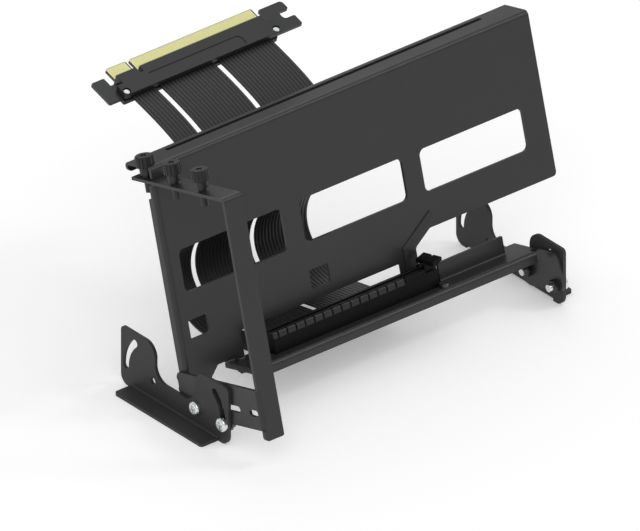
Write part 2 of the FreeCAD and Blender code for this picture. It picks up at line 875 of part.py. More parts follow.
# Slot latch: a rocker on a cross pin, with a hook over the card's edge and two finger paddles.
def slot_latch():
    x = housing_right + latch_pin_x
    z = board_top + latch_pin_rise
    half = latch_width / 2
    top = housing_top + shell_thick + latch_top
    rocker = facing(
        corners(x - latch_half, x + latch_half, z - latch_below, top),
        [1.2, 1.2, 0.8, 0.8],
        -slot_forward - half,
        -slot_forward + half,
    )
    hook_low = housing_top + shell_thick + hook_gap
    hook = box(x - latch_half - hook_reach, x, -slot_forward - channel_width / 2,
               -slot_forward + channel_width / 2, hook_low, hook_low + hook_thick)
    span = paddle_pitch / 2 + paddle_width / 2
    bar = box(x - 0.4, x + latch_half - 0.4, -slot_forward - span, -slot_forward + span,
              top - paddle_thick - 0.6, top - 0.1)
    pin = along_y(x, z, latch_pin_radius, -slot_forward - housing_width / 2,
                  -slot_forward + housing_width / 2)
    parts = [rocker, hook, bar, pin]
    for side in (-1, 1):
        middle = -slot_forward + side * paddle_pitch / 2
        paddle = plan(
            corners(x, x + paddle_length, middle - paddle_width / 2, middle + paddle_width / 2),
            [0, 1, 1, 0],
            top - paddle_thick - 0.2,
            top - 0.2,
        )
        paddle.rotate(V(x, 0, top - paddle_thick), V(0, 1, 0), -paddle_rise)
        parts.append(paddle)
    return fuse(*parts)


def plug_place(shape):
    """Turns a shape drawn flat, with the plug's depth along Y, up to the plug's own angle."""
    out = shape.copy()
    out.rotate(V(0, 0, 0), V(1, 0, 0), plug_angle)
    out.translate(V(0, plug_back, plug_up))
    return out


# Riser plug board: card edge with its key notch, a plain left ear and a hooked right ear.
def plug_board():
    left = plug_left
    right = plug_left + finger_span
    key = left + key_start
    ear_l = left - left_ear_gap
    ear_r = right + right_ear_gap
    tip_r = ear_r + right_ear_width
    points = [
        (ear_l - left_ear_width, -plug_body_depth),
        (tip_r, -plug_body_depth),
        (tip_r, -hook_notch_low),
        (tip_r - hook_notch_depth, -hook_notch_low),
        (tip_r - hook_notch_depth, -hook_notch_high),
        (tip_r, -hook_notch_high),
        (tip_r, right_ear_tip),
        (ear_r, right_ear_tip),
        (ear_r, -right_ear_gap),
        (right, -right_ear_gap),
        (right, plug_finger),
        (key + key_width, plug_finger),
        (key + key_width, -plug_notch_depth),
        (key, -plug_notch_depth),
        (key, plug_finger),
        (left, plug_finger),
        (left, -cover_front),
        (ear_l, -cover_front),
        (ear_l, left_ear_tip),
        (ear_l - left_ear_width, left_ear_tip),
    ]
    radii = [0.8, 0.8, 0.8, 1.8, 1.8, 0.8, 1.8, 0.8, 0.6, 0.6, 0.8, 0.8, 0, 0, 0.8, 0.8, 0, 0, 0.8, 0.8]
    board = plan(points, radii, -plug_thick, 0)
    for x in plug_screw_places():
        board = board.cut(along_z(x, -plug_screw_back, plug_screw_radius + hole_gap, -plug_thick - 1, 1))
    return board


def plug_screw_places():
    return [plug_left - plug_screw_out, plug_left + finger_span + plug_screw_out - plug_screw_shift]


def plug_fingers():
    """Gold strips on both faces of the card edge."""
    strips = []
    for first, count in ((plug_left, pins_short), (plug_left + key_start + key_width, pins_long)):
        for i in range(count):
            x = first + (i + 0.5) * finger_pitch
            for low, high in ((0, finger_thick), (-plug_thick - finger_thick, -plug_thick)):
                strips.append(box(x - finger_width / 2, x + finger_width / 2, seat_gap,
                                  plug_finger - 0.4, low, high))
    return strips


def plug_cover(low, high, step):
    """A cover over one face of the plug board, with a chamfered right end."""
    left = plug_left - cover_over
    right = plug_left + finger_span + cover_over
    key = plug_left + key_start
    points = [
        (left, -cover_depth),
        (right - cover_chamfer, -cover_depth),
        (right, -cover_depth + cover_chamfer),
        (right, -right_ear_gap - 1),
        (plug_left + finger_span, -right_ear_gap - 1),
        (plug_left + finger_span, 0),
        (key + key_width, 0),
        (key + key_width, -plug_notch_depth),
        (key, -plug_notch_depth),
        (key, 0),
        (plug_left, 0),
        (plug_left, -cover_front),
        (left, -cover_front),
    ]
    radii = [0.8, 0.8, 0.8, 0.6, 0.3, 0.3, 0.3, 0, 0, 0.3, 0.3, 0, 0.6]
    cover = plan(points, radii, low, high)
    outer = high if step > 0 else low
    ridge = corners(key + panel_start, right - panel_end, -cover_depth + panel_rear, -panel_front)
    recess = plan(ridge, [0.3, 3, 0.3, 3], outer - cover_step, outer + cover_step)
    cover = cover.cut(recess)
    for x in plug_screw_places():
        cover = cover.cut(along_z(x, -plug_screw_back, plug_screw_radius + hole_gap, low - 1, high + 1))
    return cover


def plug_screws():
    solids = []
    for x in plug_screw_places():
        y = -plug_screw_back
        head = along_z(x, y, plug_screw_head, cover_rise, cover_rise + plug_screw_rise)
        head = head.cut(box(x - 1.1, x + 1.1, y - 0.25, y + 0.25, cover_rise + plug_screw_rise / 2,
                            cover_rise + plug_screw_rise + 1))
        solids.append(fuse(head, along_z(x, y, plug_screw_radius, -plug_thick - cover_rise, cover_rise)))
    return solids


# Ribbons: flat cables from the plug board's back edge to the under face of the slot board.
def ribbon_line():
    turn = math.radians(plug_angle)
    depth = plug_body_depth + seat_gap
    middle = plug_thick / 2
    start = (
        plug_back - depth * math.cos(turn) + middle * math.sin(turn),
        plug_up - depth * math.sin(turn) - middle * math.cos(turn),
    )
    end = (-ribbon_end_forward, board_under - seat_gap - ribbon_thick / 2)
    low = [(back, board_under - drop) for back, drop in ribbon_low_route]
    return [start] + ribbon_route + low + [end]


def ribbon_radii(line):
    """Each fold takes 0.45 of its shorter run, so the radius comes from the turn."""
    radii = []
    for i in range(1, len(line) - 1):
        here = V(line[i][0], line[i][1], 0)
        before = V(line[i - 1][0], line[i - 1][1], 0) - here
        after = V(line[i + 1][0], line[i + 1][1], 0) - here
        turn = math.pi - before.getAngle(after)
        radii.append(0.45 * min(before.Length, after.Length) / math.tan(turn / 2))
    return radii


def ribbons():
    line = ribbon_line()
    radii = ribbon_radii(line)
    print("ribbon radii", [round(r, 1) for r in radii])
    count = len(line)
    flat = [V(a, b, 0) for a, b in line]
    steps = [(flat[i + 1] - flat[i]).normalize() for i in range(count - 1)]
    lefts = [V(-s.y, s.x, 0) for s in steps]
    face = [flat[0] - lefts[0] * (ribbon_thick / 2)]
    for i in range(1, count - 1):
        mitre = lefts[i - 1] + lefts[i]
        face.append(flat[i] - mitre * (ribbon_thick / 2 / (1 + lefts[i - 1].dot(lefts[i]))))
    face.append(flat[-1] - lefts[-1] * (ribbon_thick / 2))
    path = [(p.x, p.y) for p in face]
    insides = [r - ribbon_thick / 2 for r in radii]
    solids = []
    x = plug_left + ribbon_inset
    for width in ribbon_widths:
        solids.append(folded_endways(path, x, x + width, ribbon_thick, insides))
        x += width + ribbon_gap
    return solids


def bracket_place(shape):
    """Leans a shape of the bracket back about the foot pivots and stands it at their height."""
    out = shape.copy()
    out.translate(V(0, pivot_forward, pivot_drop))
    out.rotate(V(0, 0, 0), V(1, 0, 0), -lean)
    out.translate(V(0, 0, pivot_height))
    return out


def bracket_nodes():
    """Each node of the bracket in the bracket frame, as a list of solids."""
    nodes = {
        "main_plate": [main_plate()],
        "end_frame": [end_frame()],
        "frame_rivets": frame_rivets(),
        "slot_board": [slot_board()],
        "slot_screws": slot_screws(),
        "slot_nuts": slot_nuts(),
        "slot_housing": [slot_housing()],
        "slot_shell": [slot_shell()],
        "slot_contacts": slot_contacts(),
        "slot_latch": [slot_latch()],
    }
    for i in range(3):
        nodes[f"thumbscrew_{i + 1}"] = [thumbscrew(thumb_back - i * tongue_pitch)]
    places = {"pivot": (-pivot_forward, -pivot_drop), "lock": (-lock_forward, -lock_drop)}
    ends = {"left": (frame_left, -1, frame_left + sheet), "right": (rail_right, 1, rail_right - sheet)}
    for side, (outer, out, inner) in ends.items():
        for kind, (y, z) in places.items():
            nodes[f"{kind}_screw_{side}"] = [foot_screw(y, z, outer + out * foot_gap, out, inner)]
            nodes[f"{kind}_nut_{side}"] = [foot_nut(y, z, out, inner)]
    flat_plug = {
        "plug_board": [plug_board()],
        "plug_fingers": plug_fingers(),
        "plug_cover_top": [plug_cover(0, cover_rise, 1)],
        "plug_cover_bottom": [plug_cover(-plug_thick - cover_rise, -plug_thick, -1)],
        "plug_screws": plug_screws(),
    }
    for name, solids in flat_plug.items():
        nodes[name] = [plug_place(s) for s in solids]
    for i, solid in enumerate(ribbons()):
        nodes[f"ribbon_{i + 1}"] = [solid]
    return nodes


def build():
    """Every node in its place, with the origin under the middle of the standing part."""
    placed = {}
    for name, solids in bracket_nodes().items():
        placed[name] = [bracket_place(s) for s in solids]
    placed["foot_left"] = [foot(frame_left - foot_gap, -1)]
    placed["foot_right"] = [foot(rail_right + foot_gap, 1)]
    standing = []
    for name, solids in placed.items():
        if not name.startswith(("plug_", "ribbon_")):
            standing.extend(solids)
    span = Part.makeCompound(standing).optimalBoundingBox(False, False)
    shift = V(-span.Center.x, -span.Center.y, -span.ZMin)
    for solids in placed.values():
        for solid in solids:
            solid.translate(shift)
    return placed, shift


def main():
    os.makedirs("parts", exist_ok=True)
    placed, shift = build()
    for name, solids in placed.items():
        shape = solids[0] if len(solids) == 1 else Part.makeCompound(solids)
        shape.exportStep(f"parts/{name}.step")
    print("nodes", len(placed), "origin shift", shift)


if __name__ == "__main__":
    main()
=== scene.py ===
import math

import bmesh
import bpy
import numpy as np
from mathutils import Matrix, Vector


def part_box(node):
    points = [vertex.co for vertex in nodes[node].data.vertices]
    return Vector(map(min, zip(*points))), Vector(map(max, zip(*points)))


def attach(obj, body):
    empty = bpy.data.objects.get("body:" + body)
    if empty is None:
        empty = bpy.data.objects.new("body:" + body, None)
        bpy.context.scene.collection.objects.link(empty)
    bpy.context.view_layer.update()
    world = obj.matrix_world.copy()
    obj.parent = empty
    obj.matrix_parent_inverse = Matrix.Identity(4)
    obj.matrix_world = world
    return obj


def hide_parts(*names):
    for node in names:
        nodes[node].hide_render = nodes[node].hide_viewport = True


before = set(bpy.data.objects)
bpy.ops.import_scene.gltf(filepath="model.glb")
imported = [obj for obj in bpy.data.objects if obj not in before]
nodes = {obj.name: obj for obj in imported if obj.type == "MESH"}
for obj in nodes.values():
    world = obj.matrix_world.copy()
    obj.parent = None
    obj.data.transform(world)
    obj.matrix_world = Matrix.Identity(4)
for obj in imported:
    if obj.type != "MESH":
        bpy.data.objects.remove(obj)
scene = bpy.context.scene
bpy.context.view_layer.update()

# Camera: the photograph is a long-lens product view with no perspective, taken from the front
# left of the part and from above. The plate's top right front corner fixes its framing.
PLATE_TOP = Vector((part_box("main_plate")[1].x, 0.033180, 0.117993))
VIEW_AZIMUTH = math.radians(-39.6)
VIEW_ELEVATION = math.radians(30.3)
PIXELS_PER_METRE = 2217
IMAGE_SIZE = (640, 531)
PLATE_CORNER_PIXEL = (527.7, 10.2)
CAMERA_DISTANCE = 1.5

look = Vector((
    -math.sin(VIEW_AZIMUTH) * math.cos(VIEW_ELEVATION),
    math.cos(VIEW_AZIMUTH) * math.cos(VIEW_ELEVATION),
    -math.sin(VIEW_ELEVATION),
))
right = look.cross(Vector((0, 0, 1))).normalized()
above = right.cross(look)
centre = (
    PLATE_TOP
    + right * ((IMAGE_SIZE[0] / 2 - PLATE_CORNER_PIXEL[0]) / PIXELS_PER_METRE)
    - above * ((IMAGE_SIZE[1] / 2 - PLATE_CORNER_PIXEL[1]) / PIXELS_PER_METRE)
)
camera_turn = Matrix((right, above, -look)).transposed().to_4x4()
camera = bpy.data.objects.new("camera", bpy.data.cameras.new("camera"))
camera.data.type = "ORTHO"
camera.data.ortho_scale = IMAGE_SIZE[0] / PIXELS_PER_METRE
camera.matrix_world = Matrix.Translation(centre - look * CAMERA_DISTANCE) @ camera_turn
scene.collection.objects.link(camera)
scene.camera = camera


# Plate and end frame: laser-cut steel sheets, folded, riveted together and powder coated matt
# black, which rounds every edge a little and leaves a fine grain.
COAT_COLOUR = (0.024, 0.024, 0.0243)
COAT_THIN = (0.0225, 0.0225, 0.0228)
COAT_THICK = (0.0265, 0.0265, 0.0268)
COAT_CLOUDS = 35
COAT_GLOSS_SCALE = 900
COAT_GRAIN_SCALE = 2400
COAT_GRAIN_DEPTH = 0.00004
COAT_GRAIN_STRENGTH = 0.35


class Field:
    """A value that changes over a surface. Sums and products of fields add Math nodes."""

    def __init__(self, finish, socket):
        self.finish = finish
        self.socket = socket

    def math(self, operation, other):
        """The result of one Math node on this field and a number or another field."""
        return self.finish.node("ShaderNodeMath", {"operation": operation}, {0: self, 1: other})

    def __add__(self, other):
        return self.math("ADD", other)

    def __mul__(self, other):
        return self.math("MULTIPLY", other)

    __radd__ = __add__
    __rmul__ = __mul__


class Finish:
    """A material as it is put together, from one plain colour and what varies over it."""

    def __init__(self, name, colour, roughness, metallic=0.0, specular=0.5):
        self.material = bpy.data.materials.new(name)
        self.material.use_nodes = True
        self.tree = self.material.node_tree
        self.surface = self.tree.nodes["Principled BSDF"]
        self.surface.inputs["Base Color"].default_value = (*colour, 1)
        self.surface.inputs["Roughness"].default_value = roughness
        self.surface.inputs["Metallic"].default_value = metallic
        self.surface.inputs["Specular IOR Level"].default_value = specular
        self.place = self.node("ShaderNodeTexCoord", {}, {}, "Object")

    def node(self, kind, settings, inputs, output=0):
        """Adds a node, sets it up, and gives back one of its outputs as a field."""
        made = self.tree.nodes.new(kind)
        for key, value in settings.items():
            setattr(made, key, value)
        for key, value in inputs.items():
            if isinstance(value, Field):
                self.tree.links.new(value.socket, made.inputs[key])
            else:
                made.inputs[key].default_value = value
        return Field(self, made.outputs[output])

    def drive(self, socket, field):
        """Links a field to one of the shader's own sockets."""
        self.tree.links.new(field.socket, self.surface.inputs[socket])

    def noise(self, scale, detail=2.0):
        """Soft noise between 0 and 1, with so many waves to the metre."""
        values = {"Vector": self.place, "Scale": scale, "Detail": detail}
        return self.node("ShaderNodeTexNoise", {}, values, "Fac")

    def tint(self, mask, low, high):
        """Colours the surface from low to high with the mask."""
        values = {0: mask, 6: (*low, 1), 7: (*high, 1)}
        self.drive("Base Color", self.node("ShaderNodeMix", {"data_type": "RGBA"}, values, 2))

    def gloss(self, scale, low, high):
        """Lets the roughness wander between low and high."""
        self.drive("Roughness", self.noise(scale) * (high - low) + low)

    def grain(self, scale, depth, strength, detail=2.0):
        """Raises a fine grain by a bump of so many metres."""
        height = self.noise(scale, detail)
        values = {"Height": height, "Distance": depth, "Strength": strength}
        self.drive("Normal", self.node("ShaderNodeBump", {}, values, "Normal"))

    def cover(self, *names):
        """Puts the material on nodes of the frame."""
        for name in names:
            nodes[name].material_slots[0].material = self.material


coat = Finish("powder_coat", COAT_COLOUR, roughness=0.36, specular=0.4)
coat.tint(coat.noise(COAT_CLOUDS, detail=3.0), COAT_THIN, COAT_THICK)
coat.gloss(COAT_GLOSS_SCALE, low=0.3, high=0.4)
coat.grain(COAT_GRAIN_SCALE, COAT_GRAIN_DEPTH, COAT_GRAIN_STRENGTH)
coat.cover("main_plate", "end_frame", "frame_rivets")


# Feet: two plates of the same folded steel, turned outwards at the ground. Each hangs on the
# bracket by a pivot screw and a lock screw. Their powder coat is a little duller, and its colour,
# lighter than the plate's, is painted light that makes up for the sheen taken off their folds.
# Painted light: the feet's coat colour is drawn lighter than the plate's coat of the same paint.
FEET_COAT_PAINTED_LIGHT = (0.037, 0.037, 0.0373)

flat_coat = Finish("powder_coat_flat_painted_light", FEET_COAT_PAINTED_LIGHT, roughness=0.5, specular=0.25)
flat_coat.gloss(COAT_GLOSS_SCALE, low=0.45, high=0.55)
flat_coat.grain(COAT_GRAIN_SCALE, COAT_GRAIN_DEPTH, COAT_GRAIN_STRENGTH)
flat_coat.cover("foot_left", "foot_right")


# Thumbscrews and nuts: turned from steel and blackened, with a soft metallic sheen. The screws
# stand in the end frame's shelf, and the nuts hold the foot screws and the slot board.
BLACK_STEEL_COLOUR = (0.03, 0.03, 0.031)

black = Finish("black_steel", BLACK_STEEL_COLOUR, roughness=0.36, metallic=0.55)
black.gloss(scale=700, low=0.3, high=0.45)
black.grain(scale=1800, depth=0.00002, strength=0.3)
black.cover(*[name for name in nodes if name.startswith("thumbscrew") or "nut" in name])


# Foot screws: zinc-plated machine screws with a faint turned grain on the heads. The two screws
# of the slot board are smaller and nickel plated, with a near-black colour.
ZINC_COLOUR = (0.78, 0.79, 0.8)
ZINC_DULL = (0.68, 0.69, 0.7)
ZINC_BRIGHT = (0.84, 0.85, 0.86)
NICKEL_COLOUR = (0.09, 0.09, 0.09)

zinc = Finish("bright_zinc", ZINC_COLOUR, roughness=0.25, metallic=1.0)
zinc.tint(zinc.noise(scale=400, detail=3.0), ZINC_DULL, ZINC_BRIGHT)
zinc.gloss(scale=1500, low=0.2, high=0.34)
zinc.cover(*[name for name in nodes if name.startswith(("pivot_screw", "lock_screw"))])

nickel = Finish("dark_nickel", NICKEL_COLOUR, roughness=0.42, metallic=0.9)
nickel.gloss(scale=1500, low=0.3, high=0.46)
nickel.cover("slot_screws")


# Card slot: a glass-filled black housing, and over it a thin black-plated steel shell, pressed
# from sheet. Fifteen teeth curl over the housing's edge on each side, above a plain skirt of the
# same steel, whose near-black colour is painted shade.
PLASTIC_COLOUR = (0.005, 0.005, 0.005)
SHELL_COLOUR = (0.04, 0.04, 0.04)
# Painted shade: the skirt's colour is a darker, duller stand-in for the shell's steel in shadow.
SKIRT_PAINTED_SHADE = (0.005, 0.005, 0.0052)
LEAN = math.radians(15)
SLOT_BACK = -0.0093
SLOT_FLOOR = -0.1036
SHELL_THICK = 0.00035
TOOTH_PITCH = 0.0053
TOOTH_GAP = 0.0009
TOOTH_COUNT = 15
TOOTH_SHIFT = 0.0023
TOOTH_FOOT = [(0.00422, 0.0086), (0.00415, 0.0098)]
CURL_CENTRE = (0.0031, 0.0106)
CURL_RADIUS = 0.001
CURL_STEPS = 7
LIP = (0.0024, 0.0116)
LEDGE_UP = 0.01157
LEDGE_OUTS = (0.0026, 0.0020, 0.0013)
SKIRT_OUT = 0.0041
SKIRT_UPS = (0.0001, 0.0040, 0.0092)
END_UPS = (0.0091, 0.0098)
SHARP_EDGE = 0.6  # radians between two faces

plastic = Finish("slot_plastic", PLASTIC_COLOUR, roughness=0.5, specular=0.12)
plastic.gloss(scale=800, low=0.4, high=0.52)
plastic.grain(scale=3200, depth=0.00002, strength=0.3)
plastic.cover("slot_housing")
shell = Finish("slot_steel", SHELL_COLOUR, roughness=0.38, metallic=0.8)
shell.gloss(scale=600, low=0.34, high=0.46)
# Painted shade: the skirt's steel is drawn far darker than the teeth for the shade under them.
shaded_skirt_finish = Finish("slot_skirt_painted_shade", SKIRT_PAINTED_SHADE, roughness=0.5, specular=0.1)
shaded_skirt_finish.gloss(scale=600, low=0.38, high=0.52)


def leaned(x, back, up):
    """Points of the leaning bracket in metres, from their place along the plate and behind and
    above the plate's top front edge: back and up are turned by the lean about that edge."""
    y = PLATE_TOP.y + back * math.cos(LEAN) + up * math.sin(LEAN)
    z = PLATE_TOP.z - back * math.sin(LEAN) + up * math.cos(LEAN)
    return np.stack([x + 0 * y, y, z], -1)


def surface_object(name, points, faces, finish, smooth=True):
    """A mesh piece from arrays of its points and faces."""
    mesh = bpy.data.meshes.new(name)
    mesh.from_pydata(points.reshape(-1, 3).tolist(), [], [list(face) for face in faces])
    mesh.polygons.foreach_set("use_smooth", [smooth] * len(mesh.polygons))
    mesh.materials.append(finish.material)
    piece = bpy.data.objects.new(name, mesh)
    scene.collection.objects.link(piece)
    return piece


def prism(outline, place, near, far):
    """A closed solid with a flat outline, as its points and faces: the outline stands at two
    depths, near and far, and place turns its two values and a depth into metres."""
    count = len(outline)
    ring = np.arange(count)
    following = (ring + 1) % count
    points = np.concatenate([place(outline[:, 0], outline[:, 1], depth) for depth in (near, far)])
    sides = np.stack([ring, following, following + count, ring + count], -1)
    return points, sides.tolist() + [ring[::-1].tolist(), (ring + count).tolist()]


def joined(name, solids, finish, bevel=0.0):
    """One mesh piece out of several closed solids, with its sharp edges bevelled."""
    start = np.cumsum([0] + [len(points) for points, _ in solids])
    points = np.concatenate([points for points, _ in solids])
    faces = [
        [int(start[i]) + corner for corner in face]
        for i, (_, faces) in enumerate(solids)
        for face in faces
    ]
    piece = surface_object(name, points, faces, finish, smooth=False)
    mesh = bmesh.new()
    mesh.from_mesh(piece.data)
    bmesh.ops.recalc_face_normals(mesh, faces=mesh.faces[:])
    if bevel:
        sharp = [edge for edge in mesh.edges if edge.calc_face_angle(0) > SHARP_EDGE]
        bmesh.ops.bevel(mesh, geom=sharp, offset=bevel, segments=2, affect="EDGES", profile=0.6)
    mesh.to_mesh(piece.data)
    mesh.free()
    return piece


def strip(x0, x1, profile, side):
    """A sheet strip between two places along the slot. The profile is its outer face, as (out,
    up) from the middle of the slot's board, its inner face lies square to it by the sheet's
    thickness, and side is 1 behind the slot and -1 in front."""
    steps = np.gradient(profile, axis=0)
    steps /= np.linalg.norm(steps, axis=1)[:, None]
    inner = profile + np.stack([-steps[:, 1], steps[:, 0]], -1) * SHELL_THICK

    def in_slot(out, up, x):
        """Places points outwards from the slot's middle on the strip's side, and up."""
        return leaned(x, SLOT_BACK + side * out, SLOT_FLOOR + up)

    return prism(np.concatenate([profile, inner[::-1]]), in_slot, x0, x1)


shell_low, shell_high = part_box("slot_shell")
turns = np.radians(np.linspace(0, 90, CURL_STEPS))
curl = np.array(CURL_CENTRE) + CURL_RADIUS * np.stack([np.cos(turns), np.sin(turns)], -1)
tooth = np.concatenate([TOOTH_FOOT, curl, [LIP]])
ledge = np.array([(out, LEDGE_UP) for out in LEDGE_OUTS])
panel = np.array([(SKIRT_OUT, up) for up in SKIRT_UPS])
end_panel = np.concatenate([[(SKIRT_OUT, up) for up in END_UPS], curl, [LIP]])
end_start = shell_low.x + TOOTH_COUNT * TOOTH_PITCH - TOOTH_SHIFT + TOOTH_GAP / 2
teeth = []
panels = []
for side in (1, -1):
    teeth.append(strip(shell_low.x, shell_high.x, ledge, side))
    for i in range(TOOTH_COUNT):
        x = shell_low.x + i * TOOTH_PITCH - TOOTH_SHIFT
        tooth_start = max(x + TOOTH_GAP / 2, shell_low.x)
        teeth.append(strip(tooth_start, x + TOOTH_PITCH - TOOTH_GAP / 2, tooth, side))
    panels.append(strip(shell_low.x, shell_high.x, panel, side))
    panels.append(strip(end_start, shell_high.x, end_panel, side))
slot_teeth = joined("slot_teeth", teeth, shell)
slot_skirt_painted_shade = joined("slot_skirt_painted_shade", panels, shaded_skirt_finish)
for piece in (slot_teeth, slot_skirt_painted_shade):
    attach(piece, "bracket")
    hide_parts("slot_shell")


# Slot latch: a rocker moulded in the housing's plastic, which turns on a cross pin between two
# towers. A hook holds the card's edge, and two paddles give the finger something to push.
LATCH_PIN = PLATE_TOP.x - 0.08675
LATCH_BEVEL = 0.00025
ROCKER_HALF = 0.0024
HOOK_HALF = 0.00125
PADDLE_SPAN = (0.0010, 0.0063)
PIN_HALF = 0.00375
ARC_STEPS = 6


def rounded(corners, radii):
    """A closed outline of (a, b) points. Each corner that has a radius becomes an arc: its middle
    lies on the corner's bisector, and it runs between the points where it touches both sides."""
    corners = np.array(corners, float)
    outline = []
    for i, (here, radius) in enumerate(zip(corners, radii)):
        if radius == 0:
            outline.append(here[None])
            continue
        before = corners[i - 1] - here
        after = corners[(i + 1) % len(corners)] - here
        before /= np.linalg.norm(before)
        after /= np.linalg.norm(after)
        half = math.acos(np.clip(before @ after, -1, 1)) / 2
        inward = (before + after) / np.linalg.norm(before + after)
        middle = here + inward * (radius / math.sin(half))
        start = here + before * (radius / math.tan(half)) - middle
        end = here + after * (radius / math.tan(half)) - middle
        first = math.atan2(start[1], start[0])
        sweep = (math.atan2(end[1], end[0]) - first + math.pi) % (2 * math.pi) - math.pi
        turns = first + sweep * np.linspace(0, 1, ARC_STEPS)
        outline.append(middle + radius * np.stack([np.cos(turns), np.sin(turns)], -1))
    return np.concatenate(outline)


def in_latch(along, up, back):
    """Places points about the latch's pin, from their place along the slot, above its board and
    behind its middle."""
    return leaned(LATCH_PIN + along, SLOT_BACK + back, SLOT_FLOOR + up)


rocker = rounded(
    [(-0.0026, 0.0012), (0.0026, 0.0012), (0.0042, 0.0050), (0.0037, 0.0112), (0.0030, 0.0131),
     (-0.0026, 0.0131)],
    [0.001, 0.001, 0.001, 0.001, 0.0006, 0.0008],
)
hook = rounded(
    [(-0.0046, 0.0121), (0, 0.0121), (0, 0.0133), (-0.0046, 0.0133)],
    [0.0004, 0, 0, 0.0005],
)
paddle = rounded(
    [(-0.0006, 0.0124), (0.0012, 0.0121), (0.0049, 0.0138), (0.0051, 0.0152), (0.0044, 0.0157),
     (-0.0006, 0.0141)],
    [0.0003, 0.0005, 0.0004, 0.0005, 0.0004, 0.0005],
)
pin = rounded([(-0.001, 0.0016), (0.001, 0.0016), (0.001, 0.0036), (-0.001, 0.0036)], [0.00099] * 4)
paddle_near, paddle_far = PADDLE_SPAN
levers = [
    prism(rocker, in_latch, -ROCKER_HALF, ROCKER_HALF),
    prism(hook, in_latch, -HOOK_HALF, HOOK_HALF),
    prism(paddle, in_latch, paddle_near, paddle_far),
    prism(paddle, in_latch, -paddle_far, -paddle_near),
    prism(pin, in_latch, -PIN_HALF, PIN_HALF),
]
latch = joined("latch_lever", levers, plastic, LATCH_BEVEL)
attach(latch, "slot_latch")
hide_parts("slot_latch")


# Slot contacts: strips stamped from spring bronze and pressed into the housing, down both walls
# of its channel. They are gold plated where the card's edge wipes them.
GOLD_COLOUR = (0.96, 0.93, 0.45)
GOLD_DEEP = (0.94, 0.91, 0.4)
GOLD_PALE = (0.98, 0.96, 0.48)

gold = Finish("gold", GOLD_COLOUR, roughness=0.34, metallic=0.25)
gold.tint(gold.noise(scale=500), GOLD_DEEP, GOLD_PALE)
gold.gloss(scale=900, low=0.28, high=0.4)
gold.cover("slot_contacts")


# Circuit boards: the slot's board under the rail and the plug's board, of glass fibre under a
# black solder mask with a slight gloss.
BOARD_COLOUR = (0.018, 0.019, 0.02)

board = Finish("board", BOARD_COLOUR, roughness=0.34, specular=0.5)
board.gloss(scale=500, low=0.28, high=0.42)
board.grain(scale=1200, depth=0.00002, strength=0.25)
board.cover("slot_board", "plug_board")


# Plug covers: two moulded shells of satin black plastic, clamped over the plug's board. The top
# one has a shallow panel and two counterbores, and both stop short of the gold contacts.
COVER_COLOUR = (0.02, 0.02, 0.021)
PLUG_LEFT = PLATE_TOP.x - 0.1775
PLUG_BACK = 0.0776
PLUG_UP = 0.0160
PLUG_TURN = math.radians(32.5)
PLUG_SPAN = 0.0852
PLUG_KEY = (0.01165, 0.01355)  # both sides of the key's notch along the contacts
PLUG_THICK = 0.0016
PLUG_SCREWS = ((-0.0014, -0.0116), (0.0861, -0.0116))
COVER_RISE = 0.0026
COVER_UNDER = 0.0022
COVER_LIFT = 0.00002  # keeps the covers' faces out of the board's
COVER_BACK = -0.0139
COVER_FRONT = -0.0014
COVER_LEFT = -0.0036
COVER_RIGHT = PLUG_SPAN + 0.0036
COVER_CHAMFER = 0.003
LEFT_SHOULDER = -0.0069
RIGHT_SHOULDER = -0.0050
KEY_BACK = -0.0050
COVER_BEVEL = 0.00025
COUNTERBORE = 0.0019
COUNTERBORE_FLOOR = 0.0008
SCREW_HOLE = 0.00112
PANEL_CUT = (COVER_RISE - 0.0003, COVER_RISE + 0.001)
COUNTERBORE_CUT = (COUNTERBORE_FLOOR, 0.004)
TOP_HOLE_CUT = (-0.001, 0.003)
BOTTOM_HOLE_CUT = (-0.005, 0)

cover = Finish("plug_plastic", COVER_COLOUR, roughness=0.42, specular=0.45)
cover.gloss(scale=700, low=0.36, high=0.48)
cover.grain(scale=2600, depth=0.00002, strength=0.3)


def in_plug(along, depth, height):
    """Places points of the plug, along its contacts, forwards to their edge and up off its board:
    depth and height are turned by the plug's own angle."""
    back = PLUG_BACK + depth * math.cos(PLUG_TURN) - height * math.sin(PLUG_TURN)
    up = PLUG_UP + depth * math.sin(PLUG_TURN) + height * math.cos(PLUG_TURN)
    return leaned(PLUG_LEFT + along, back, up)


def disc(place, radius, count=24):
    """A round outline about a place, by the cosine and sine of evenly spaced turns."""
    turns = np.linspace(0, 2 * math.pi, count, endpoint=False)
    return np.array(place) + radius * np.stack([np.cos(turns), np.sin(turns)], -1)


def carved(piece, pockets):
    """Cuts pockets, each an outline with its near and far height, out of a piece of the plug and
    leaves it as a plain mesh."""
    cutters = [joined("pocket", [prism(*pocket)], cover) for pocket in pockets]
    for cutter in cutters:
        piece.modifiers.new("carve", "BOOLEAN").object = cutter
    depsgraph = bpy.context.evaluated_depsgraph_get()
    finished = bpy.data.meshes.new_from_object(piece.evaluated_get(depsgraph))
    piece.modifiers.clear()
    piece.data = finished
    for cutter in cutters:
        bpy.data.objects.remove(cutter)


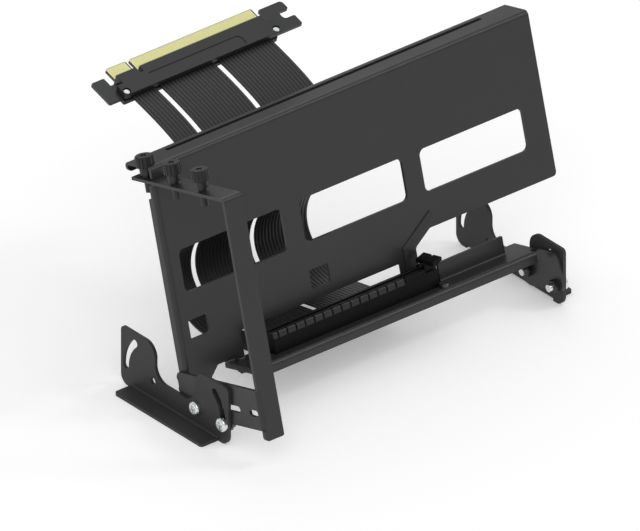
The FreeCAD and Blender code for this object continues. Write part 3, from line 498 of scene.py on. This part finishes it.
cover_outline = rounded(
    [
        (COVER_LEFT, COVER_BACK),
        (COVER_RIGHT - COVER_CHAMFER, COVER_BACK),
        (COVER_RIGHT, COVER_BACK + COVER_CHAMFER),
        (COVER_RIGHT, RIGHT_SHOULDER),
        (PLUG_SPAN, RIGHT_SHOULDER),
        (PLUG_SPAN, COVER_FRONT),
        (PLUG_KEY[1], COVER_FRONT),
        (PLUG_KEY[1], KEY_BACK),
        (PLUG_KEY[0], KEY_BACK),
        (PLUG_KEY[0], COVER_FRONT),
        (0, COVER_FRONT),
        (0, LEFT_SHOULDER),
        (COVER_LEFT, LEFT_SHOULDER),
    ],
    [0.0008, 0.0008, 0.0008, 0.0006, 0.0003, 0.0003, 0.0003, 0, 0, 0.0003, 0.0003, 0.0003, 0.0006],
)
panel_outline = rounded(
    [(0.01465, -0.0124), (0.0680, -0.0124), (0.0680, -0.0069), (0.01465, -0.0069)],
    [0.0003, 0.0003, 0.0025, 0.0003],
)
top_solid = prism(cover_outline, in_plug, COVER_LIFT, COVER_RISE)
bottom_solid = prism(cover_outline, in_plug, -PLUG_THICK - COVER_UNDER, -PLUG_THICK - COVER_LIFT)
top_cover = joined("plug_shell_top", [top_solid], cover, COVER_BEVEL)
bottom_cover = joined("plug_shell_bottom", [bottom_solid], cover, COVER_BEVEL)
top_pockets = [(panel_outline, in_plug, *PANEL_CUT)]
for place in PLUG_SCREWS:
    top_pockets.append((disc(place, COUNTERBORE), in_plug, *COUNTERBORE_CUT))
    top_pockets.append((disc(place, SCREW_HOLE), in_plug, *TOP_HOLE_CUT))
carved(top_cover, top_pockets)
carved(bottom_cover, [(disc(place, SCREW_HOLE), in_plug, *BOTTOM_HOLE_CUT) for place in PLUG_SCREWS])
for piece, node in ((top_cover, "plug_cover_top"), (bottom_cover, "plug_cover_bottom")):
    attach(piece, "bracket")
    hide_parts(node)


# Plug screws: two zinc-plated screws that clamp both covers to the plug's board. Their heads
# stand in the counterbores of the top cover, and each has a square drive.
HEAD_RADIUS = 0.00148
HEAD_TOP = 0.0020
HEAD_BEVEL = 0.00015
SHANK_RADIUS = 0.001
DRIVE_RADIUS = 0.0006
DRIVE_CUT = (0.0017, 0.003)

screw_solids = []
for place in PLUG_SCREWS:
    screw_solids.append(prism(disc(place, HEAD_RADIUS), in_plug, COUNTERBORE_FLOOR, HEAD_TOP))
    screw_solids.append(
        prism(disc(place, SHANK_RADIUS), in_plug, -PLUG_THICK - COVER_UNDER, COUNTERBORE_FLOOR)
    )
plug_screws = joined("plug_screw_heads", screw_solids, zinc, HEAD_BEVEL)
carved(plug_screws, [(disc(place, DRIVE_RADIUS, 4), in_plug, *DRIVE_CUT) for place in PLUG_SCREWS])
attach(plug_screws, "bracket")
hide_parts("plug_screws")


# Plug contacts: gold-plated fingers on both faces of the plug board, 1 mm apart, from under the
# covers to the board's edge, with the key's notch between the short and the long group.
FINGER_PITCH = 0.001
FINGER_WIDTH = 0.00078
FINGER_THICK = 0.0001
FINGER_ENDS = (-0.0022, 0.0053)
FINGER_GROUPS = ((0, 11), (PLUG_KEY[1], 71))  # where a group starts, and its fingers
FINGER_FACES = ((0, FINGER_THICK), (-PLUG_THICK - FINGER_THICK, -PLUG_THICK))

finger_near, finger_far = FINGER_ENDS
fingers = []
for first, count in FINGER_GROUPS:
    for i in range(count):
        middle = first + (i + 0.5) * FINGER_PITCH
        left_side = middle - FINGER_WIDTH / 2
        right_side = middle + FINGER_WIDTH / 2
        outline = np.array([
            (left_side, finger_near),
            (right_side, finger_near),
            (right_side, finger_far),
            (left_side, finger_far),
        ])
        fingers += [prism(outline, in_plug, low, high) for low, high in FINGER_FACES]
plug_fingers = joined("plug_gold_fingers", fingers, gold)
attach(plug_fingers, "bracket")
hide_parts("plug_fingers")


# Ribbon cables: three flat cables of side-by-side cores in a moulded black jacket, ridged over
# every core. They run from under the slot board, out behind the plate and up to the plug.
JACKET_COLOUR = (0.022, 0.022, 0.0225)
# The groove colour is painted shade and the crown colour is painted highlight on the black jacket.
JACKET_GROOVE_PAINTED_SHADE = (0.002, 0.002, 0.002)
JACKET_CROWN_PAINTED_HIGHLIGHT = (0.034, 0.034, 0.0345)
RIBBON_LEFT = PLATE_TOP.x - 0.1770
RIBBON_WIDTHS = (0.0137, 0.0319, 0.0309)
RIBBON_RIDGES = (7, 16, 16)
RIBBON_GAP = 0.0025
RIBBON_HALF_THICK = 0.0005
RIDGE_DEPTH = 0.00034
RIDGE_SAMPLES = 8
ROUTE_SAMPLES = 14
RIBBON_ROUTE = np.array([
    (-0.0080, -0.10575),
    (0.0100, -0.1058),
    (0.0280, -0.1038),
    (0.0475, -0.1030),
    (0.0635, -0.0875),
    (0.0630, -0.0720),
    (0.0500, -0.0580),
    (0.0295, -0.0380),
    (0.0315, -0.0165),
    (0.0495, -0.0015),
    (0.06719, 0.00842),
])

jacket = Finish("ribbon_jacket", JACKET_COLOUR, roughness=0.42, specular=0.4)
# Painted light: the jacket is tinted darker in the grooves between cores and lighter on the crowns.
crown_painted_light = jacket.node("ShaderNodeAttribute", {"attribute_name": "crown"}, {}, "Fac")
jacket.tint(crown_painted_light, JACKET_GROOVE_PAINTED_SHADE, JACKET_CROWN_PAINTED_HIGHLIGHT)
jacket.gloss(scale=260, low=0.34, high=0.48)
jacket.grain(scale=2600, depth=0.00002, strength=0.35, detail=3.0)


def smooth_route(points):
    """The points along the NURBS spline that has the route's points as its control points."""
    curve = bpy.data.curves.new("route", "CURVE")
    curve.dimensions = "3D"
    curve.resolution_u = ROUTE_SAMPLES
    spline = curve.splines.new("NURBS")
    spline.points.add(len(points) - 1)
    spline.points.foreach_set("co", np.insert(points, 3, 1, axis=1).ravel())
    spline.order_u = 3
    spline.use_endpoint_u = True
    holder = bpy.data.objects.new("route", curve)
    scene.collection.objects.link(holder)
    bpy.context.view_layer.update()
    mesh = bpy.data.meshes.new_from_object(holder)
    line = np.empty((len(mesh.vertices), 3))
    mesh.vertices.foreach_get("co", line.ravel())
    bpy.data.objects.remove(holder)
    bpy.data.curves.remove(curve)
    bpy.data.meshes.remove(mesh)
    return line


def grid_faces(rows, columns):
    """The quads of a grid whose rows are closed rings."""
    row = np.arange(rows - 1)[:, None] * columns
    here = np.arange(columns)[None, :]
    following = (here + 1) % columns
    quads = [row + here, row + following, row + columns + following, row + columns + here]
    return np.stack(quads, -1).reshape(-1, 4)


def ribbon_surface(name, line, width, ridges):
    """Sweeps a flat ridged section along the line. Across the width the half thickness follows
    the root of a sine, once for each ridge, and the section goes over the top and back below."""
    count = ridges * RIDGE_SAMPLES + 1
    across = np.linspace(-0.5, 0.5, count)
    crown = np.abs(np.sin(np.pi * (across + 0.5) * ridges)) ** 0.5
    half = RIBBON_HALF_THICK - RIDGE_DEPTH * (1 - crown)
    offset = np.concatenate([across, across[::-1]]) * width
    height = np.concatenate([half, -half[::-1]])
    tangent = np.gradient(line, axis=0)
    tangent /= np.linalg.norm(tangent, axis=1)[:, None]
    sideways = np.array([1.0, 0.0, 0.0])
    normal = np.cross(sideways, tangent)
    spread = offset[None, :, None] * sideways + height[None, :, None] * normal[:, None]
    points = line[:, None] + spread
    ring = np.arange(len(offset))
    faces = grid_faces(len(line), len(ring)).tolist()
    caps = [ring[::-1].tolist(), (ring + (len(line) - 1) * len(ring)).tolist()]
    piece = surface_object(name, points, faces + caps, jacket)
    piece.data.polygons.foreach_set("use_smooth", [True] * len(faces) + [False] * len(caps))
    # The crown values also tint the jacket: painted shade in the grooves, painted highlight on the
    # crowns.
    crowns = piece.data.attributes.new("crown", "FLOAT", "POINT")
    crowns.data.foreach_set("value", np.tile(np.concatenate([crown, crown[::-1]]), len(line)))
    return piece


ribbon_x = RIBBON_LEFT
for number, (width, ridges) in enumerate(zip(RIBBON_WIDTHS, RIBBON_RIDGES), 1):
    line = smooth_route(leaned(ribbon_x + width / 2, RIBBON_ROUTE[:, 0], RIBBON_ROUTE[:, 1]))
    ribbon = ribbon_surface(f"ribbon_cable_{number}", line, width, ridges)
    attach(ribbon, "bracket")
    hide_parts(f"ribbon_{number}")
    ribbon_x += width + RIBBON_GAP


# Studio: a white floor under three soft boxes and a pale sky, dimmer behind the part. It is not
# part of the object. The floor shows a little brighter to the camera and in reflections.
FLOOR_HALF = 6.0
FLOOR_COLOUR = (0.95, 0.95, 0.95)
FLOOR_GLOW = 2.2
FLOOR_GLOW_SHARE = 0.14
SKY_BRIGHT = 0.62
SKY_DIM = 0.2
SKY_DIM_DIRECTION = (0.549, 0.829, 0.1)
SKY_DIM_RANGE = (0.72, 0.97)
LAMP_TARGET = Vector((0, 0, 0.05))
SOFT_BOXES = (  # name, place, width in metres, power in watts
    ("key", (-0.75, -0.75, 0.95), 0.8, 3.2),
    ("back", (0.35, 0.95, 0.95), 1.1, 4.0),
    ("rim", (0.88, -0.50, 1.20), 0.28, 2.4),
)

floor_finish = Finish("floor", FLOOR_COLOUR, roughness=0.9, specular=0.0)
rays = floor_finish.node("ShaderNodeLightPath", {}, {}, "Is Camera Ray")
glossy = floor_finish.node("ShaderNodeLightPath", {}, {}, "Is Glossy Ray")
glow = floor_finish.node("ShaderNodeEmission", {}, {"Color": (1, 1, 1, 1), "Strength": FLOOR_GLOW})
lit = Field(floor_finish, floor_finish.surface.outputs["BSDF"])
share = (rays + glossy) * FLOOR_GLOW_SHARE
mixed = floor_finish.node("ShaderNodeMixShader", {}, {0: share, 1: lit, 2: glow})
floor_output = floor_finish.tree.nodes["Material Output"]
floor_finish.tree.links.new(mixed.socket, floor_output.inputs["Surface"])
square = np.array([(-1, -1, 0), (1, -1, 0), (1, 1, 0), (-1, 1, 0)], float) * FLOOR_HALF
floor = surface_object("floor", square, [(0, 1, 2, 3)], floor_finish, smooth=False)

world = bpy.data.worlds.new("studio")
world.use_nodes = True
sky = world.node_tree
sky.nodes["Background"].inputs["Color"].default_value = (1, 1, 1, 1)
heading = sky.nodes.new("ShaderNodeTexCoord")
facing = sky.nodes.new("ShaderNodeVectorMath")
facing.operation = "DOT_PRODUCT"
facing.inputs[1].default_value = SKY_DIM_DIRECTION
dimmed = sky.nodes.new("ShaderNodeMapRange")
dimmed.inputs["From Min"].default_value = SKY_DIM_RANGE[0]
dimmed.inputs["From Max"].default_value = SKY_DIM_RANGE[1]
dimmed.inputs["To Min"].default_value = SKY_BRIGHT
dimmed.inputs["To Max"].default_value = SKY_DIM
sky.links.new(heading.outputs["Generated"], facing.inputs[0])
sky.links.new(facing.outputs["Value"], dimmed.inputs["Value"])
sky.links.new(dimmed.outputs["Result"], sky.nodes["Background"].inputs["Strength"])
scene.world = world

for name, place, size, power in SOFT_BOXES:
    lamp = bpy.data.lights.new(name, "AREA")
    lamp.size = size
    lamp.energy = power
    holder = bpy.data.objects.new(name, lamp)
    turn = (LAMP_TARGET - Vector(place)).to_track_quat("-Z", "Y").to_matrix().to_4x4()
    holder.matrix_world = Matrix.Translation(Vector(place)) @ turn
    scene.collection.objects.link(holder)

scene.view_settings.view_transform = "Standard"
